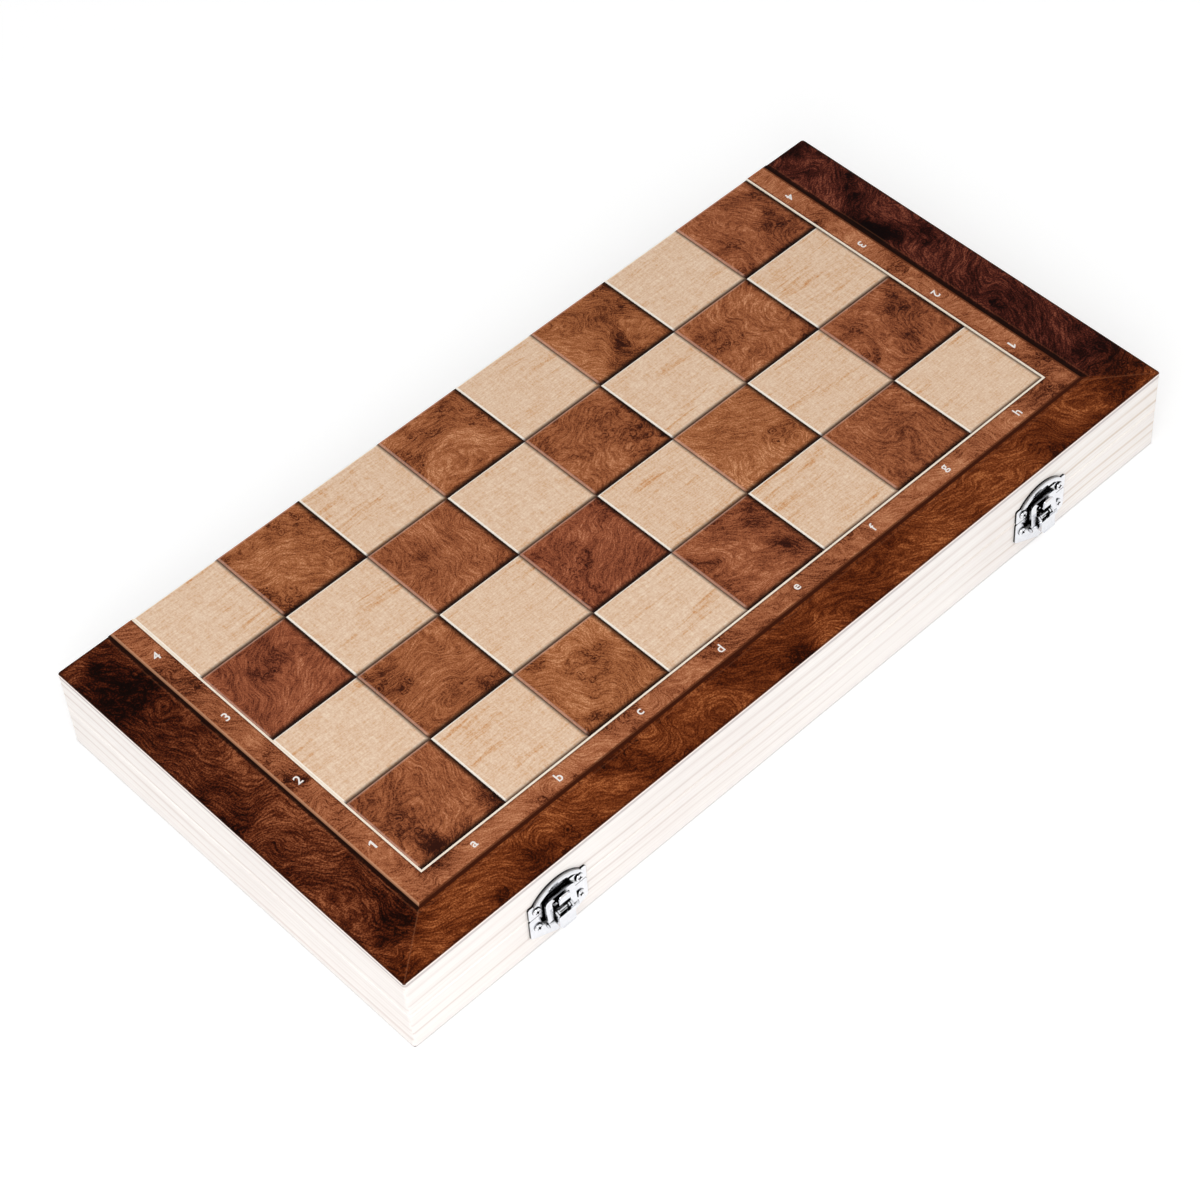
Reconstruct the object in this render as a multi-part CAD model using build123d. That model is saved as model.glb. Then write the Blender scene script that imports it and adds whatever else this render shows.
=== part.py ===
from build123d import *
import os
from math import atan2, cos, degrees, hypot, pi

# A wooden chess board that folds in half into a flat box, shown closed and latched.
# X runs along the fold, from file a to file h. Y runs from the latched front to the fold at the back.
# Z is up. The origin is the middle of the face that lies on the table. Sizes are in millimetres.

# Playing field, of which each half of the box carries four ranks.
square = 35.0
file_count = 8
ranks_per_half = 4
square_ease = 0.35

# Strips that frame the field on three sides, each given by its own width.
inner_line_width = 0.7
coordinate_band_width = 8.3
outer_line_width = 1.2
side_border_width = 19.8
front_border_width = 16.8

# The field lies this far to the right of the middle, so the left border is the wider one.
field_shift = 1.0

# Wooden shell of one half.
half_height = 17.5
face_thickness = 0.6
panel_thickness = 2.0
rail_thickness = 10.0
liner_thickness = 0.5
liner_fit = 0.2
case_corner_radius = 1.2
face_edge_ease = 0.3
parting_edge_ease = 0.4
parting_gap = 0.3

# Butt hinges, let into the parting faces of the two back rails.
hinge_offset = 100.0
hinge_length = 28.0
leaf_width = 8.0
leaf_thickness = 0.8
knuckle_radius = 1.8
hinge_pin_radius = 1.0
knuckle_gap = 0.3
hinge_recess_fit = 0.2
fold_gap = 0.3
leaf_screw_spacing = 18.0
leaf_screw_inset = 2.9
leaf_screw_radius = 0.9
leaf_screw_head_radius = 1.7
leaf_screw_length = 9.0

# Screw shanks don't show, so they and their holes have flat sides. So do the small screw heads.
screw_sides = 12

# Toggle latches on the front, one near each end, set a little below the parting plane.
latch_offset = 110.0
latch_drop = 0.4
sheet = 0.7
plate_half_width = 12.0
plate_setback = 0.15
plate_corner_ease = 0.5
ear_height = 6.2
arch_half_width = 10.0
arch_top = 11.0
rim_width = 1.6
rim_height = 0.9
rim_ease = 0.35
recess_depth = 0.35
recess_sill = 5.6
recess_margin = 0.5
shield_side = 9.3
shield_tip = 15.6
catch_screw_rise = 3.1
base_screw_drop = 5.4
latch_screw_offset = 8.8
latch_screw_radius = 0.9
latch_screw_head_radius = 1.6
latch_screw_crown_radius = 1.2
latch_screw_head_height = 0.8
latch_screw_length = 7.0
screw_slot_length = 2.1
screw_slot_width = 0.4
screw_slot_depth = 0.3

# Moving pieces of the latch. Each pivot is given by how far it stands out and how far it hangs down.
pivot_out = 2.6
pivot_drop = 2.6
bail_pin_out = 2.3
bail_pin_drop = 6.0
bail_seat_out = 1.6
bail_seat_rise = 3.6
bail_sheet = 0.85
bail_bar_height = 1.5
bail_half_width = 6.1
bail_corner_radius = 1.6
hook_width = 4.6
hook_tip_rise = 6.1
hook_mouth = 3.1
hook_sink = 0.2
hook_corner_radius = 1.3
hook_foot_ease = 1.1
hook_notch_margin = 0.4
latch_pin_radius = 0.5
eye_radius = 1.1
lug_radius = 1.1
lug_thickness = 0.6
lever_half_width = 3.35
lever_cheek = 0.6
lever_straight = 3.4
lever_length = 5.6
lever_flare = 0.8
lever_tip_radius = 1.6
cheek_reach = 4.8
pin_head_radius = 0.8
pin_head_height = 0.3
side_gap = 0.3

# Fits.
running_fit = 0.05
snug_fit = 0.02
screw_fit = 0.05
swing_clearance = 0.3

# Sizes that follow from the ones above.
field_half = square * file_count / 2
frame_width = inner_line_width + coordinate_band_width + outer_line_width
case_half_length = field_half + frame_width + side_border_width
case_depth = square * ranks_per_half + frame_width + front_border_width
back = case_depth / 2
front = -case_depth / 2
field_front = back - square * ranks_per_half
top = 2 * half_height
face_bottom = top - face_thickness
panel_bottom = face_bottom - panel_thickness
rail_bottom = half_height + parting_gap / 2
hinge_axis = back + fold_gap / 2
leaf_foot = hinge_axis - knuckle_radius - swing_clearance
latch_height = half_height - latch_drop
parting_plane = Plane.XY.offset(half_height)

parts = {}


def keep(name, *solids):
    """Keep one piece, or a group of equal pieces, under its name."""
    parts[name] = solids[0] if len(solids) == 1 else Compound(children=list(solids))


def block(x_range, y_range, z_range):
    """A block between two values on each axis."""
    sizes = [high - low for low, high in (x_range, y_range, z_range)]
    middle = [(high + low) / 2 for low, high in (x_range, y_range, z_range)]
    return Pos(*middle) * Box(*sizes)


def below(shape):
    """The matching shape of the lower half, mirrored in the parting plane."""
    return shape.mirror(parting_plane)


def rod(radius, x_from, x_to, y, z):
    """A round bar along X."""
    middle = (x_from + x_to) / 2
    return Pos(middle, y, z) * Rot(0, 90, 0) * Cylinder(radius, x_to - x_from)


# Play face: squares and strips let in flush on the panel


def field_rectangle(offset):
    """X and Y ranges of the field grown by an offset on its three framed sides, and open at the fold."""
    reach = field_half + offset
    return (field_shift - reach, field_shift + reach), (field_front - offset, back)


def frame_strip(inner_offset, width):
    """A strip that runs round three sides of the field."""
    outer_x, outer_y = field_rectangle(inner_offset + width)
    inner_x, inner_y = field_rectangle(inner_offset)
    strip = block(outer_x, outer_y, (face_bottom, top))
    return strip - block(inner_x, inner_y, (face_bottom, top))


def play_square(file, rank):
    """One square with eased edges. Rank 0 lies along the front border."""
    x = field_shift - field_half + square * (file + 0.5)
    y = field_front + square * (rank + 0.5)
    tile = Pos(x, y, (face_bottom + top) / 2) * Box(square, square, face_thickness)
    return chamfer(tile.faces().sort_by(Axis.Z)[-1].edges(), square_ease)


def play_squares(parity):
    """Every second square of a half: parity 0 holds the front left corner."""
    places = [(f, r) for f in range(file_count) for r in range(ranks_per_half)]
    return [play_square(f, r) for f, r in places if (f + r) % 2 == parity]


def case_outline():
    return RectangleRounded(2 * case_half_length, case_depth, case_corner_radius)


def mitred_sector(side, inner_x, inner_front, inner_back):
    """A tall prism over one side of the case, cut by the mitre lines at its corners."""
    outer_left, outer_right = (-case_half_length, front), (case_half_length, front)
    far_left, far_right = (-case_half_length, back), (case_half_length, back)
    left, right = inner_x
    corners = {
        "front": [outer_left, outer_right, (right, inner_front), (left, inner_front)],
        "back": [far_left, far_right, (right, inner_back), (left, inner_back)],
        "left": [outer_left, (left, inner_front), (left, inner_back), far_left],
        "right": [outer_right, (right, inner_front), (right, inner_back), far_right],
    }[side]
    return extrude(make_face(Polyline(*corners, close=True)), top)


def border_strips():
    """Outer border as a front strip and two side strips, mitred at the front corners."""
    ring = Pos(0, 0, face_bottom) * extrude(case_outline(), face_thickness)
    ring = chamfer(ring.faces().sort_by(Axis.Z)[-1].edges(), face_edge_ease)
    inner_x, inner_y = field_rectangle(frame_width)
    ring -= block(inner_x, inner_y, (face_bottom, top))
    return {
        side: ring & mitred_sector(side, inner_x, inner_y[0], back)
        for side in ("left", "front", "right")
    }


def make_play_faces():
    strips = {
        "inner_line": frame_strip(0, inner_line_width),
        "coordinate_band": frame_strip(inner_line_width, coordinate_band_width),
        "outer_line": frame_strip(inner_line_width + coordinate_band_width, outer_line_width),
    }
    for side, strip in border_strips().items():
        strips[f"{side}_border"] = strip
    for name, strip in strips.items():
        keep(f"upper_{name}", strip)
        keep(f"lower_{name}", below(strip))
    # The colours change over at the fold, so the lower half has them the other way round.
    keep("upper_dark_squares", *play_squares(0))
    keep("upper_light_squares", *play_squares(1))
    keep("lower_dark_squares", *[below(tile) for tile in play_squares(1)])
    keep("lower_light_squares", *[below(tile) for tile in play_squares(0)])


# Wooden shell


def rail_ring():
    """The four rails of the upper half before they are cut apart."""
    height = panel_bottom - rail_bottom
    ring = Pos(0, 0, rail_bottom) * extrude(case_outline(), height)
    ring = chamfer(ring.faces().sort_by(Axis.Z)[0].edges(), parting_edge_ease)
    inner = case_half_length - rail_thickness
    return ring - block((-inner, inner), (front + rail_thickness, back - rail_thickness), (0, top))


def hinge_cut(x):
    """The leaf recess, the barrel groove and the screw holes that one hinge needs in a back rail."""
    half = hinge_length / 2 + hinge_recess_fit
    span = (x - half, x + half)
    inner = hinge_axis - leaf_width - hinge_recess_fit
    cut = block(span, (inner, hinge_axis), (half_height, rail_bottom + leaf_thickness))
    cut += rod(knuckle_radius + swing_clearance, *span, hinge_axis, half_height)
    for screw in leaf_screws(x, screw_fit):
        cut += screw
    return cut


def latch_hole(x, z):
    """A screw hole from the front of a rail."""
    return latch_screw_shank(screw_fit).moved(Location((x, front, z)))


def make_case():
    inner_x = case_half_length - rail_thickness
    inner_front = front + rail_thickness
    inner_back = back - rail_thickness
    ring = rail_ring()
    upper = {
        side: ring & mitred_sector(side, (-inner_x, inner_x), inner_front, inner_back)
        for side in ("front", "back", "left", "right")
    }
    for x in (-hinge_offset, hinge_offset):
        upper["back"] -= hinge_cut(x)
    lower = {side: below(rail) for side, rail in upper.items()}
    for latch_x in (-latch_offset, latch_offset):
        for x in (latch_x - latch_screw_offset, latch_x + latch_screw_offset):
            upper["front"] -= latch_hole(x, latch_height + catch_screw_rise)
            lower["front"] -= latch_hole(x, latch_height - base_screw_drop)
    for side in upper:
        keep(f"upper_{side}_rail", upper[side])
        keep(f"lower_{side}_rail", lower[side])

    panel = Pos(0, 0, panel_bottom) * extrude(case_outline(), panel_thickness)
    liner_x = inner_x - liner_fit
    liner_y = (inner_front + liner_fit, inner_back - liner_fit)
    liner = block((-liner_x, liner_x), liner_y, (panel_bottom - liner_thickness, panel_bottom))
    keep("upper_panel", panel)
    keep("lower_panel", below(panel))
    keep("upper_liner", liner)
    keep("lower_liner", below(liner))


# Hinges


def screw_head(wide_radius, narrow_radius, height):
    """A flat-sided screw head that narrows upwards."""
    slope = (wide_radius - narrow_radius) * cos(pi / screw_sides)
    outline = RegularPolygon(wide_radius, screw_sides)
    return extrude(outline, height, taper=degrees(atan2(slope, height)))


def leaf_screw(fit):
    """A countersunk screw that points up, with its head in the leaf. The fit widens it to a hole."""
    head = screw_head(leaf_screw_head_radius + fit, leaf_screw_radius + fit, leaf_thickness)
    return head + extrude(RegularPolygon(leaf_screw_radius + fit, screw_sides), leaf_screw_length + fit)


def leaf_screws(x, fit):
    """The two screws of an upper leaf."""
    y = hinge_axis - leaf_width + leaf_screw_inset
    places = (x - leaf_screw_spacing / 2, x + leaf_screw_spacing / 2)
    return [leaf_screw(fit).moved(Location((px, y, rail_bottom))) for px in places]


def knuckle_spans(x):
    """X ranges of the three knuckles, from left to right."""
    width = (hinge_length - 2 * knuckle_gap) / 3
    starts = [x - hinge_length / 2 + i * (width + knuckle_gap) for i in range(3)]
    return [(start, start + width) for start in starts]


def hinge_leaf(x, own_knuckles):
    """An upper leaf with its own share of the barrel, and cut back beside the other leaf's share."""
    span = (x - hinge_length / 2, x + hinge_length / 2)
    z_range = (rail_bottom, rail_bottom + leaf_thickness)
    leaf = block(span, (hinge_axis - leaf_width, leaf_foot), z_range)
    for start, end in own_knuckles:
        leaf += block((start, end), (leaf_foot, hinge_axis - hinge_pin_radius - running_fit), z_range)
        leaf += rod(knuckle_radius, start, end, hinge_axis, half_height)
    leaf -= rod(hinge_pin_radius + running_fit, *span, hinge_axis, half_height)
    for screw in leaf_screws(x, snug_fit):
        leaf -= screw
    return leaf


def make_hinges():
    upper_screws, lower_screws = [], []
    for side, x in (("left", -hinge_offset), ("right", hinge_offset)):
        first, middle, last = knuckle_spans(x)
        keep(f"{side}_hinge_upper_leaf", hinge_leaf(x, [middle]))
        keep(f"{side}_hinge_lower_leaf", below(hinge_leaf(x, [first, last])))
        pin = rod(hinge_pin_radius, x - hinge_length / 2, x + hinge_length / 2, hinge_axis, half_height)
        keep(f"{side}_hinge_pin", pin)
        upper_screws += leaf_screws(x, 0)
        lower_screws += [below(screw) for screw in leaf_screws(x, 0)]
    keep("upper_hinge_screws", *upper_screws)
    keep("lower_hinge_screws", *lower_screws)


# Latches. A latch is made round its own origin, in the front face between its two plates.
# In a side view a point is given by how far it stands out of the face and how high it is.


def side_point(out, rise):
    return (-out, rise)


def side_extrude(profile, half_width):
    """A side view extruded to both sides of the middle of the latch."""
    return extrude(Plane.YZ * profile, half_width, both=True)


def side_disc(radius, out, rise):
    return Pos(*side_point(out, rise)) * Circle(radius)


def cross_rod(radius, half_width, out, rise):
    """A round bar across the latch."""
    return rod(radius, -half_width, half_width, *side_point(out, rise))


def latch_screw_shank(fit):
    """The shank of a latch screw, from the front of its plate inwards. The fit widens it to a hole."""
    outline = RegularPolygon(latch_screw_radius + fit, screw_sides)
    shank = extrude(outline, sheet + latch_screw_length + fit)
    return Pos(0, -sheet, 0) * Rot(-90, 0, 0) * shank


def latch_screw():
    """A screw with a low crowned head that sits on a latch plate, and a cross slot."""
    height = latch_screw_head_height
    head = screw_head(latch_screw_head_radius, latch_screw_crown_radius, height)
    head = Pos(0, -sheet, 0) * Rot(90, 0, 0) * head
    slot_y = -sheet - height + screw_slot_depth / 2
    for size in ((screw_slot_length, screw_slot_width), (screw_slot_width, screw_slot_length)):
        head -= Pos(0, slot_y, 0) * Box(size[0], screw_slot_depth, size[1])
    return head + latch_screw_shank(0)


def screw_holes(rise):
    """The two holes of a latch plate."""
    hole = latch_screw_shank(screw_fit)
    return [Pos(x, 0, rise) * hole for x in (-latch_screw_offset, latch_screw_offset)]


def arch_band(outer_margin, inner_margin, lowest):
    """The part of the catch plate's arch between two margins from its edge, above a height."""
    rise = arch_top - ear_height
    radius = (arch_half_width**2 + rise**2) / (2 * rise)
    disc = Circle(radius - outer_margin)
    if inner_margin is not None:
        disc -= Circle(radius - inner_margin)
    disc = Pos(0, arch_top - radius) * disc
    above = Pos(0, lowest + radius) * Rectangle(4 * radius, 2 * radius)
    return disc & above


def hook():
    """The tongue that is bent out of the catch plate and up, with an open mouth for the bail."""
    turn = (hook_mouth + sheet) / 2
    middle = sheet / 2 + turn
    low = bail_seat_rise + hook_sink
    path = Line(side_point(sheet / 2, low + sheet), side_point(sheet / 2, low))
    path += ThreePointArc(
        side_point(sheet / 2, low), side_point(middle, low - turn), side_point(middle + turn, low)
    )
    path += Line(side_point(middle + turn, low), side_point(middle + turn, hook_tip_rise))
    tongue = side_extrude(trace(path, sheet), hook_width / 2)
    height = hook_tip_rise - low + turn + sheet / 2
    outline = Rectangle(hook_width, height)
    outline = fillet(outline.vertices().group_by(Axis.Y)[-1], hook_corner_radius)
    outline = chamfer(outline.vertices().group_by(Axis.Y)[0], hook_foot_ease)
    outline = Pos(0, hook_tip_rise - height / 2) * outline
    front_leg = extrude(Plane.XZ.offset(middle) * outline, 2 * turn)
    root = extrude(Plane.XZ * Pos(0, low) * Rectangle(hook_width, 4 * hook_mouth), middle)
    return (tongue & front_leg) + (tongue & root)


def catch_plate():
    """The upper latch plate: two ears, an arched top with a pressed rim, and the hook."""
    ears = Pos(0, (ear_height + plate_setback) / 2) * Rectangle(
        2 * plate_half_width, ear_height - plate_setback
    )
    ears = chamfer(ears.vertices(), plate_corner_ease)
    plate = extrude(Plane.XZ * (ears + arch_band(0, None, ear_height - sheet)), sheet)
    recess = arch_band(rim_width + recess_margin, None, recess_sill)
    plate -= extrude(Plane.XZ.offset(sheet - recess_depth) * recess, sheet)
    rim = extrude(Plane.XZ.offset(sheet) * arch_band(0, rim_width, ear_height), rim_height)
    rim_crest = rim.faces().sort_by(Axis.Y)[0]
    plate += chamfer(rim_crest.edges(), rim_ease)
    low = bail_seat_rise + hook_sink
    notch_half = hook_width / 2 + hook_notch_margin
    plate -= block((-notch_half, notch_half), (-sheet, 0), (0, low))
    plate += hook()
    for hole in screw_holes(catch_screw_rise):
        plate -= hole
    return plate


def lug_inner():
    return lever_half_width - lever_cheek - side_gap - lug_thickness


def base_plate():
    """The lower latch plate: a shield with two folded lugs that hold the lever's pin."""
    shield = make_face(
        Polyline(
            (-plate_half_width, -plate_setback),
            (plate_half_width, -plate_setback),
            (plate_half_width, -shield_side),
            (0, -shield_tip),
            (-plate_half_width, -shield_side),
            close=True,
        )
    )
    shield = chamfer(shield.vertices(), plate_corner_ease)
    plate = extrude(Plane.XZ * shield, sheet)
    lug = make_hull(
        side_disc(lug_radius, pivot_out, -pivot_drop).edges()
        + side_disc(lug_radius, sheet - lug_radius, -pivot_drop).edges()
    )
    lug &= Pos(*side_point(2 * pivot_out, -pivot_drop)) * Rectangle(4 * pivot_out, 4 * lug_radius)
    lugs = side_extrude(lug, lug_inner() + lug_thickness) - side_extrude(lug, lug_inner())
    plate += lugs
    plate -= cross_rod(latch_pin_radius + snug_fit, lever_half_width, pivot_out, -pivot_drop)
    for hole in screw_holes(-base_screw_drop):
        plate -= hole
    return plate


def lever():
    """The duckbill lever: a channel whose front wall flares out to a rounded finger tip."""
    wall_out = pivot_out + lug_radius + side_gap + sheet / 2
    top_point = side_point(wall_out, -pivot_drop)
    bend_point = side_point(wall_out, -pivot_drop - lever_straight)
    tip_point = side_point(wall_out + lever_flare, -pivot_drop - lever_length)
    path = Line(top_point, bend_point)
    path += TangentArc(bend_point, tip_point, tangent=(0, -1))
    wall = side_extrude(trace(path, sheet), lever_half_width)
    height = lever_length + 4 * sheet
    outline = Pos(0, -pivot_drop - lever_length + height / 2) * RectangleRounded(
        2 * lever_half_width, height, lever_tip_radius
    )
    wall &= extrude(Plane.XZ * outline, 4 * pivot_out)
    cheek = make_hull(
        side_disc(eye_radius, pivot_out, -pivot_drop).edges()
        + side_disc(eye_radius, bail_pin_out, -bail_pin_drop).edges()
        + Line(top_point, side_point(wall_out, -pivot_drop - cheek_reach)).edges()
    )
    inner = lever_half_width - lever_cheek
    body = wall + (side_extrude(cheek, lever_half_width) - side_extrude(cheek, inner))
    body -= cross_rod(latch_pin_radius + running_fit, lever_half_width, pivot_out, -pivot_drop)
    body -= cross_rod(latch_pin_radius + snug_fit, lever_half_width, bail_pin_out, -bail_pin_drop)
    return body


def bail():
    """The loop that the lever pulls down on the hook, with an eye at the foot of each leg."""
    length = hypot(bail_pin_out - bail_seat_out, bail_pin_drop + bail_seat_rise)
    lean = degrees(atan2(bail_pin_out - bail_seat_out, bail_pin_drop + bail_seat_rise))
    inner = lever_half_width + side_gap
    bar_foot = length - bail_sheet / 2
    reach = bar_foot + bail_bar_height
    frame = Rectangle(2 * bail_half_width, 2 * reach)
    frame = fillet(frame.vertices().group_by(Axis.Y)[-1], bail_corner_radius)
    window = Rectangle(2 * inner, 2 * bar_foot)
    window = fillet(window.vertices().group_by(Axis.Y)[-1], bail_corner_radius / 2)
    frame = (frame - window) & Pos(0, reach) * Rectangle(4 * bail_half_width, 2 * reach)
    loop = extrude(Plane.XZ * frame, bail_sheet / 2, both=True)
    for x_from, x_to in ((-bail_half_width, -inner), (inner, bail_half_width)):
        loop += rod(eye_radius, x_from, x_to, 0, 0)
    loop -= rod(latch_pin_radius + running_fit, -bail_half_width, bail_half_width, 0, 0)
    return Pos(0, -bail_pin_out, -bail_pin_drop) * Rot(-lean, 0, 0) * loop


def lever_pin():
    """The pin held in the base plate's lugs, on which the lever turns."""
    return cross_rod(latch_pin_radius, lever_half_width + side_gap / 2, pivot_out, -pivot_drop)


def bail_pin():
    """The pin held in the lever's cheeks, on which the bail turns, with a head outside each leg."""
    head_from = bail_half_width + side_gap / 2
    head_to = head_from + pin_head_height
    pin = cross_rod(latch_pin_radius, head_to, bail_pin_out, -bail_pin_drop)
    for start, end in ((-head_to, -head_from), (head_from, head_to)):
        pin += rod(pin_head_radius, start, end, *side_point(bail_pin_out, -bail_pin_drop))
    return pin


def make_latches():
    catch_screws, base_screws = [], []
    pieces = {
        "catch_plate": catch_plate(),
        "latch_base_plate": base_plate(),
        "latch_lever": lever(),
        "latch_bail": bail(),
        "latch_lever_pin": lever_pin(),
        "latch_bail_pin": bail_pin(),
    }
    for side, latch_x in (("left", -latch_offset), ("right", latch_offset)):
        place = Location((latch_x, front, latch_height))
        for name, piece in pieces.items():
            keep(f"{side}_{name}", piece.moved(place))
        for x in (latch_x - latch_screw_offset, latch_x + latch_screw_offset):
            upper_place = Location((x, front, latch_height + catch_screw_rise))
            lower_place = Location((x, front, latch_height - base_screw_drop))
            catch_screws.append(latch_screw().moved(upper_place))
            base_screws.append(latch_screw().moved(lower_place))
    keep("catch_plate_screws", *catch_screws)
    keep("latch_base_plate_screws", *base_screws)


make_play_faces()
make_case()
make_hinges()
make_latches()

os.makedirs("parts", exist_ok=True)
for name, shape in parts.items():
    export_step(shape, f"parts/{name}.step")
    print(f"{name}: {len(shape.solids())} solids, {shape.volume:.1f} mm3")
print(f"{len(parts)} nodes")
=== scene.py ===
# %% [markdown]
# # Dressing a folding chess board
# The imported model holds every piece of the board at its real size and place.
# This lesson gives those pieces their woods and metals, adds the printed letters and detailed
# screws, and sets up a plain studio with one camera.
# Lengths are in metres, apart from a few in millimetres or in squares, where the text says so.
# X runs along the fold, Y runs to the fold at the back, Z is up.

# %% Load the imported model
import math

import bpy
from mathutils import Matrix, Vector


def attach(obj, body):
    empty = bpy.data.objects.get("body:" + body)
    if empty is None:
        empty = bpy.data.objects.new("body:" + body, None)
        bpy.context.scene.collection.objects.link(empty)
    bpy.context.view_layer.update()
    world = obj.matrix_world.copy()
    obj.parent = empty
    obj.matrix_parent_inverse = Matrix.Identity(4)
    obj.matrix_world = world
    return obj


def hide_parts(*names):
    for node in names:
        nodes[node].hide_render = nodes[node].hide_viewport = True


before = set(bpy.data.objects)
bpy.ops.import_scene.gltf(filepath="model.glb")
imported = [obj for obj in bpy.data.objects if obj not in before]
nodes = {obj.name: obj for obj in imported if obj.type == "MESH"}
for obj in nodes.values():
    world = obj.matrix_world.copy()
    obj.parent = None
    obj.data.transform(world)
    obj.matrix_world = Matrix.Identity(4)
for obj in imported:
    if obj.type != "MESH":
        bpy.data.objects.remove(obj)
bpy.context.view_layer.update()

# %% [markdown]
# ## Sizes
# The pieces bring their own sizes, but a pattern, a shaded edge or a letter has to know where the
# squares lie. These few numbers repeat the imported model's, measured from the middle of the box on
# the table. The field of squares lies a little to the right of the middle.

# %% Name the sizes
SQUARE = 0.035
HALF_FIELD = 4 * SQUARE
FIELD_SHIFT = 0.001
FIELD_FRONT = -0.0565
HALF_WIDTH = 0.170
HALF_DEPTH = 0.0835
PARTING = 0.0175
TOP = 0.035
MILLIMETRES = 1000.0
print("box", 2 * HALF_WIDTH, "by", 2 * HALF_DEPTH, "by", TOP)

# %% [markdown]
# ## The camera
# The view was worked out from the corners of the squares in the photograph, where straight rows of
# equal squares fix both the distance and the lens. It could also be set by eye, but then the far
# squares would shrink by the wrong amount. The camera's three axes are written out as a matrix. Its
# sensor and its lens are in millimetres.

# %% Place the camera
IMAGE_SIZE = 1200
FOCAL_PIXELS = 3275.64
SENSOR_WIDTH = 36.0
NEAREST_SEEN = 0.01
camera_place = Vector((-0.458787, -0.528866, 0.844519))
to_right = Vector((0.72248225, -0.68953586, -0.05059355))
to_top = Vector((0.55689840, 0.53701630, 0.63362265))
to_back = Vector((-0.40973598, -0.48595658, 0.77198616))

lens_data = bpy.data.cameras.new("portrait_camera")
lens_data.sensor_width = SENSOR_WIDTH
lens_data.lens = FOCAL_PIXELS / IMAGE_SIZE * SENSOR_WIDTH
lens_data.clip_start = NEAREST_SEEN
camera = bpy.data.objects.new("portrait_camera", lens_data)
bpy.context.scene.collection.objects.link(camera)
axes = Matrix((to_right, to_top, to_back)).transposed().to_4x4()
camera.matrix_world = Matrix.Translation(camera_place) @ axes
bpy.context.scene.camera = camera
print("lens", round(lens_data.lens, 2), "mm")

# %% [markdown]
# ## Colours
# A colour picked off a screen is stored for the eye, while a shader counts light. The helper turns
# the first kind, written as 0 to 255, into the second, so that a colour renders about as it is written.

# %% A helper for colours


def paint(red, green, blue):
    """A colour from its three screen values, by the standard curve of screens."""
    def light(value):
        value /= 255
        return value / 12.92 if value <= 0.04045 else ((value + 0.055) / 1.055) ** 2.4
    return (light(red), light(green), light(blue), 1.0)


print("pine as light:", [round(v, 3) for v in paint(247, 241, 236)])

# %% [markdown]
# ## Node helpers
# A material is a small network of nodes. Each helper here adds one kind of node, plugs in what it is
# given, and hands back the socket that carries the result. A value may be a number or a socket.

# %% Helpers that calculate


def plug(tree, socket, value):
    """Join a socket to another one, or set its own value."""
    if isinstance(value, bpy.types.NodeSocket):
        tree.links.new(value, socket)
    elif value is not None:
        socket.default_value = value


def calculate(tree, operation, first, second=None, third=None, clamp=False):
    """One step of arithmetic."""
    made = tree.nodes.new("ShaderNodeMath")
    made.operation = operation
    made.use_clamp = clamp
    for socket, value in zip(made.inputs, (first, second, third)):
        plug(tree, socket, value)
    return made.outputs[0]


def multiply(tree, first, second):
    """Two values multiplied."""
    return calculate(tree, "MULTIPLY", first, second)


def gap(tree, value, middle):
    """How far a value is from a middle one, to either side."""
    return calculate(tree, "ABSOLUTE", calculate(tree, "SUBTRACT", value, middle))


def calculate_vector(tree, operation, first, second):
    """One step of arithmetic with places or directions."""
    made = tree.nodes.new("ShaderNodeVectorMath")
    made.operation = operation
    plug(tree, made.inputs[0], first)
    plug(tree, made.inputs[1], second)
    return made.outputs["Value"] if operation == "DOT_PRODUCT" else made.outputs["Vector"]


def split(tree, vector):
    """The x, y and z of a place, or the red, green and blue of a colour."""
    made = tree.nodes.new("ShaderNodeSeparateXYZ")
    plug(tree, made.inputs[0], vector)
    return made.outputs


def combine(tree, x, y, z):
    """A place from its three values."""
    made = tree.nodes.new("ShaderNodeCombineXYZ")
    for socket, value in zip(made.inputs, (x, y, z)):
        plug(tree, socket, value)
    return made.outputs[0]


print("arithmetic ready")

# %% [markdown]
# Patterns come as masks, values from 0 to 1 that say where something is. A cloud rarely reaches
# either end, so most are stretched by a soft step. A colour is then stained where a mask says so.

# %% Helpers for masks and colours


def cloud(tree, vector, scale, detail=2.0, roughness=0.5):
    """Smooth noise. The first output is a value from 0 to 1, the second a colour."""
    made = tree.nodes.new("ShaderNodeTexNoise")
    plug(tree, made.inputs["Vector"], vector)
    plug(tree, made.inputs["Scale"], scale)
    plug(tree, made.inputs["Detail"], detail)
    plug(tree, made.inputs["Roughness"], roughness)
    return made.outputs


def points(tree, vector, scale):
    """Scattered points: the distance to the nearest one, and a colour of its own."""
    made = tree.nodes.new("ShaderNodeTexVoronoi")
    plug(tree, made.inputs["Vector"], vector)
    plug(tree, made.inputs["Scale"], scale)
    return made.outputs["Distance"], made.outputs["Color"]


def fade(tree, value, start, end, low=0.0, high=1.0):
    """A soft step: low before start, high after end."""
    made = tree.nodes.new("ShaderNodeMapRange")
    made.interpolation_type = "SMOOTHSTEP"
    for socket, given in zip(made.inputs, (value, start, end, low, high)):
        plug(tree, socket, given)
    return made.outputs[0]


def cloud_mask(tree, vector, scale, start, end, detail=2.0, roughness=0.5):
    """A cloud stretched to a mask by a soft step."""
    return fade(tree, cloud(tree, vector, scale, detail, roughness)[0], start, end)


def centred(tree, middle, parts):
    """Masks added up round a middle value, each by its own weight."""
    total = middle - sum(weight for value, weight in parts) / 2
    for value, weight in parts:
        total = calculate(tree, "MULTIPLY_ADD", value, weight, total)
    return total


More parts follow.
